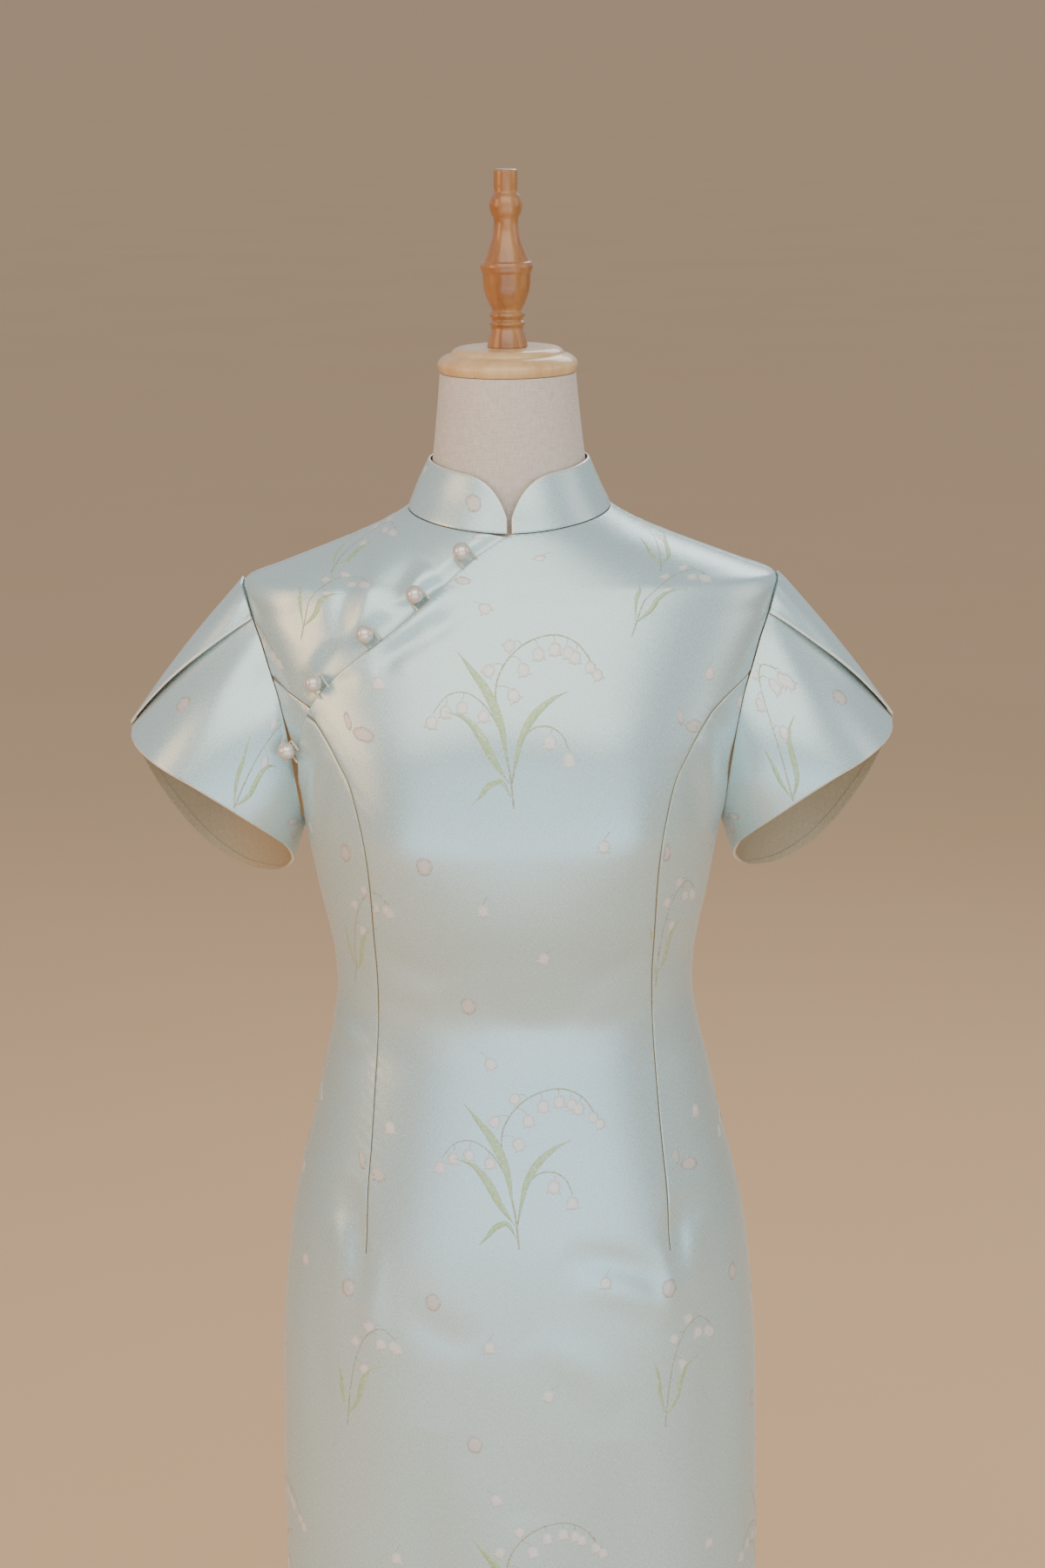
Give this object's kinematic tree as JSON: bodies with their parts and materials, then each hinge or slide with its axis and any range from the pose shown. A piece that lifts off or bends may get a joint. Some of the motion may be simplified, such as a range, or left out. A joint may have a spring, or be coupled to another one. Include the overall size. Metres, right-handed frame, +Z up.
{
  "type": "cheongsam dress on a dress form",
  "caption": "Fitted silk cheongsam with a stand collar, slanted pearl-buttoned opening and short tulip sleeves, worn on a limbless dress form with a wooden finial and a round base.",
  "frame": {"origin": "on the floor, at the centre of the round base, under the pole", "axes": "+Z up along the pole; the wearer faces -Y; +X is the wearer's left"},
  "size_m": [0.5368, 0.36, 1.5707],
  "materials": {
    "satin": "pale blue-green silk brocade with a soft satin sheen and woven lily-of-the-valley sprigs",
    "loop_cord": "thin cream cord",
    "pearl": "glossy imitation pearl",
    "linen": "matt off-white linen stretched over the form",
    "maple": "light clear-varnished wood",
    "turned_wood": "orange-brown varnished turned wood",
    "steel": "satin steel"
  },
  "bodies": {
    "root": {"front": "satin", "under_flap": "satin", "flap_side": "satin", "back": "satin", "collar": "satin", "sleeve_left": "satin", "sleeve_right": "satin", "pearl_1": "pearl", "loop_1": "loop_cord", "pearl_2": "pearl", "loop_2": "loop_cord", "pearl_3": "pearl", "loop_3": "loop_cord", "pearl_4": "pearl", "loop_4": "loop_cord", "pearl_5": "pearl", "loop_5": "loop_cord", "form_torso": "linen", "neck_cap": "maple", "finial": "turned_wood", "pole": "steel", "base": "steel"}
  },
  "joints": []
}
